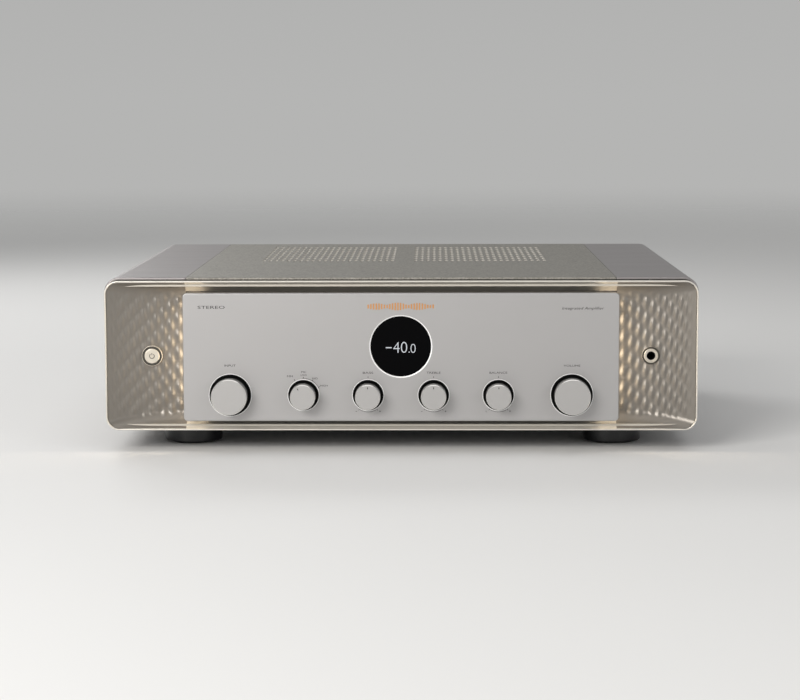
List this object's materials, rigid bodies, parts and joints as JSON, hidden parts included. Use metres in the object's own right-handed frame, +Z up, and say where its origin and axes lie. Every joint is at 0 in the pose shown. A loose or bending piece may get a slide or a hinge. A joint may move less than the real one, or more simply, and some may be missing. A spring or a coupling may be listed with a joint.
{
  "type": "integrated amplifier",
  "caption": "Stereo integrated amplifier with a floating front plate, round porthole display, turned knobs, curved lit side wings, vented cover and four feet.",
  "frame": {"origin": "centre of the footprint on the surface the feet stand on", "axes": "+Z up, the front faces -Y, +X to the right as seen from the front"},
  "size_m": [0.442, 0.431, 0.13],
  "materials": {
    "chassis_steel": "satin",
    "bezel_aluminium": "satin",
    "backdrop_taupe": "matte",
    "face_aluminium": "satin",
    "knob_metal": "satin",
    "button_metal": "satin",
    "trim_metal": "satin",
    "trim_dark": "satin",
    "cover_paint": "satin",
    "top_paint": "matte",
    "rear_paint": "matte",
    "dark_plastic": "matte",
    "foot_plastic": "satin",
    "pad_rubber": "matte",
    "display_glass": "gloss",
    "warm_light": "matte",
    "screw_steel": "satin",
    "plated_gold": "polished",
    "cap_plastic": "satin",
    "component_metal": "satin",
    "circuit_board": "satin",
    "capacitor_sleeve": "satin",
    "transformer_wrap": "matte"
  },
  "bodies": {
    "chassis": {"bottom_chassis": "chassis_steel", "front_bezel": "bezel_aluminium", "backdrop_left": "backdrop_taupe", "backdrop_right": "backdrop_taupe", "front_subpanel": "chassis_steel", "faceplate": "face_aluminium", "faceplate_carrier": "dark_plastic", "light_bars": "warm_light", "display_window": "display_glass", "display_module": "circuit_board", "encoder_bodies": "component_metal", "selector_switch": "component_metal", "tone_pots": "component_metal", "control_nuts": "component_metal", "control_board": "circuit_board", "power_button_ring": "trim_metal", "power_switch": "dark_plastic", "headphone_nut": "trim_dark", "headphone_socket": "dark_plastic", "side_cover_left": "cover_paint", "side_cover_right": "cover_paint", "top_panel": "top_paint", "rear_panel": "rear_paint", "feet": "foot_plastic", "foot_pads": "pad_rubber", "case_screws": "screw_steel", "rca_jack_shells": "plated_gold", "rca_jack_blocks": "dark_plastic", "terminal_rods": "plated_gold", "terminal_bases": "dark_plastic", "ac_inlet": "dark_plastic", "toroidal_transformer": "transformer_wrap", "transformer_clamp": "component_metal", "power_supply_board": "circuit_board", "smoothing_capacitors": "capacitor_sleeve", "power_amp_modules": "circuit_board", "preamp_board": "circuit_board"},
    "input_control": {"input_knob": "knob_metal", "input_shaft": "component_metal"},
    "selector_control": {"selector_knob": "knob_metal", "selector_shaft": "component_metal"},
    "bass_control": {"bass_knob": "knob_metal", "bass_shaft": "component_metal"},
    "treble_control": {"treble_knob": "knob_metal", "treble_shaft": "component_metal"},
    "balance_control": {"balance_knob": "knob_metal", "balance_shaft": "component_metal"},
    "volume_control": {"volume_knob": "knob_metal", "volume_shaft": "component_metal"},
    "power_button": {"power_button": "button_metal"},
    "speaker_washer_1": {"speaker_washer_1": "plated_gold"},
    "speaker_cap_1": {"speaker_cap_1": "cap_plastic"},
    "speaker_washer_2": {"speaker_washer_2": "plated_gold"},
    "speaker_cap_2": {"speaker_cap_2": "cap_plastic"},
    "speaker_washer_3": {"speaker_washer_3": "plated_gold"},
    "speaker_cap_3": {"speaker_cap_3": "cap_plastic"},
    "speaker_washer_4": {"speaker_washer_4": "plated_gold"},
    "speaker_cap_4": {"speaker_cap_4": "cap_plastic"},
    "ground_washer": {"ground_washer": "component_metal"},
    "ground_cap": {"ground_cap": "component_metal"}
  },
  "joints": [
    {"name": "input_turn", "type": "hinge", "parent": "chassis", "child": "input_control", "pos_m": [-0.1267, -0.2, 0.0433], "axis": [0, 1, 0], "continuous": true},
    {"name": "selector_turn", "type": "hinge", "parent": "chassis", "child": "selector_control", "pos_m": [-0.0723, -0.2, 0.0433], "axis": [0, 1, 0], "range_deg": [0, 90]},
    {"name": "bass_turn", "type": "hinge", "parent": "chassis", "child": "bass_control", "pos_m": [-0.0243, -0.2, 0.0433], "axis": [0, 1, 0], "range_deg": [-145, 145]},
    {"name": "treble_turn", "type": "hinge", "parent": "chassis", "child": "treble_control", "pos_m": [0.0243, -0.2, 0.0433], "axis": [0, 1, 0], "range_deg": [-145, 145]},
    {"name": "balance_turn", "type": "hinge", "parent": "chassis", "child": "balance_control", "pos_m": [0.0723, -0.2, 0.0433], "axis": [0, 1, 0], "range_deg": [-145, 145]},
    {"name": "volume_turn", "type": "hinge", "parent": "chassis", "child": "volume_control", "pos_m": [0.1267, -0.2, 0.0433], "axis": [0, 1, 0], "continuous": true},
    {"name": "power_press", "type": "slide", "parent": "chassis", "child": "power_button", "axis": [0, 1, 0], "range_m": [0, 0.0015], "stiffness_N_per_m": 400, "springref_m": -0.002},
    {"name": "speaker_cap_1_back_off", "type": "slide", "parent": "chassis", "child": "speaker_washer_1", "axis": [0, 1, 0], "range_m": [0, 0.004]},
    {"name": "speaker_cap_1_turn", "type": "hinge", "parent": "speaker_washer_1", "child": "speaker_cap_1", "pos_m": [0.064, 0.2, 0.062], "axis": [0, 1, 0], "range_deg": [0, 1450]},
    {"name": "speaker_cap_2_back_off", "type": "slide", "parent": "chassis", "child": "speaker_washer_2", "axis": [0, 1, 0], "range_m": [0, 0.004]},
    {"name": "speaker_cap_2_turn", "type": "hinge", "parent": "speaker_washer_2", "child": "speaker_cap_2", "pos_m": [0.092, 0.2, 0.062], "axis": [0, 1, 0], "range_deg": [0, 1450]},
    {"name": "speaker_cap_3_back_off", "type": "slide", "parent": "chassis", "child": "speaker_washer_3", "axis": [0, 1, 0], "range_m": [0, 0.004]},
    {"name": "speaker_cap_3_turn", "type": "hinge", "parent": "speaker_washer_3", "child": "speaker_cap_3", "pos_m": [0.136, 0.2, 0.062], "axis": [0, 1, 0], "range_deg": [0, 1450]},
    {"name": "speaker_cap_4_back_off", "type": "slide", "parent": "chassis", "child": "speaker_washer_4", "axis": [0, 1, 0], "range_m": [0, 0.004]},
    {"name": "speaker_cap_4_turn", "type": "hinge", "parent": "speaker_washer_4", "child": "speaker_cap_4", "pos_m": [0.164, 0.2, 0.062], "axis": [0, 1, 0], "range_deg": [0, 1450]},
    {"name": "ground_cap_back_off", "type": "slide", "parent": "chassis", "child": "ground_washer", "axis": [0, 1, 0], "range_m": [0, 0.0028]},
    {"name": "ground_cap_turn", "type": "hinge", "parent": "ground_washer", "child": "ground_cap", "pos_m": [-0.196, 0.19, 0.108], "axis": [0, 1, 0], "range_deg": [0, 1450]}
  ],
  "couplings": [
    {"joint": "speaker_cap_1_turn", "follows": "speaker_cap_1_back_off", "rad_per_m": 6283.2},
    {"joint": "speaker_cap_2_turn", "follows": "speaker_cap_2_back_off", "rad_per_m": 6283.2},
    {"joint": "speaker_cap_3_turn", "follows": "speaker_cap_3_back_off", "rad_per_m": 6283.2},
    {"joint": "speaker_cap_4_turn", "follows": "speaker_cap_4_back_off", "rad_per_m": 6283.2},
    {"joint": "ground_cap_turn", "follows": "ground_cap_back_off", "rad_per_m": 8976}
  ]
}
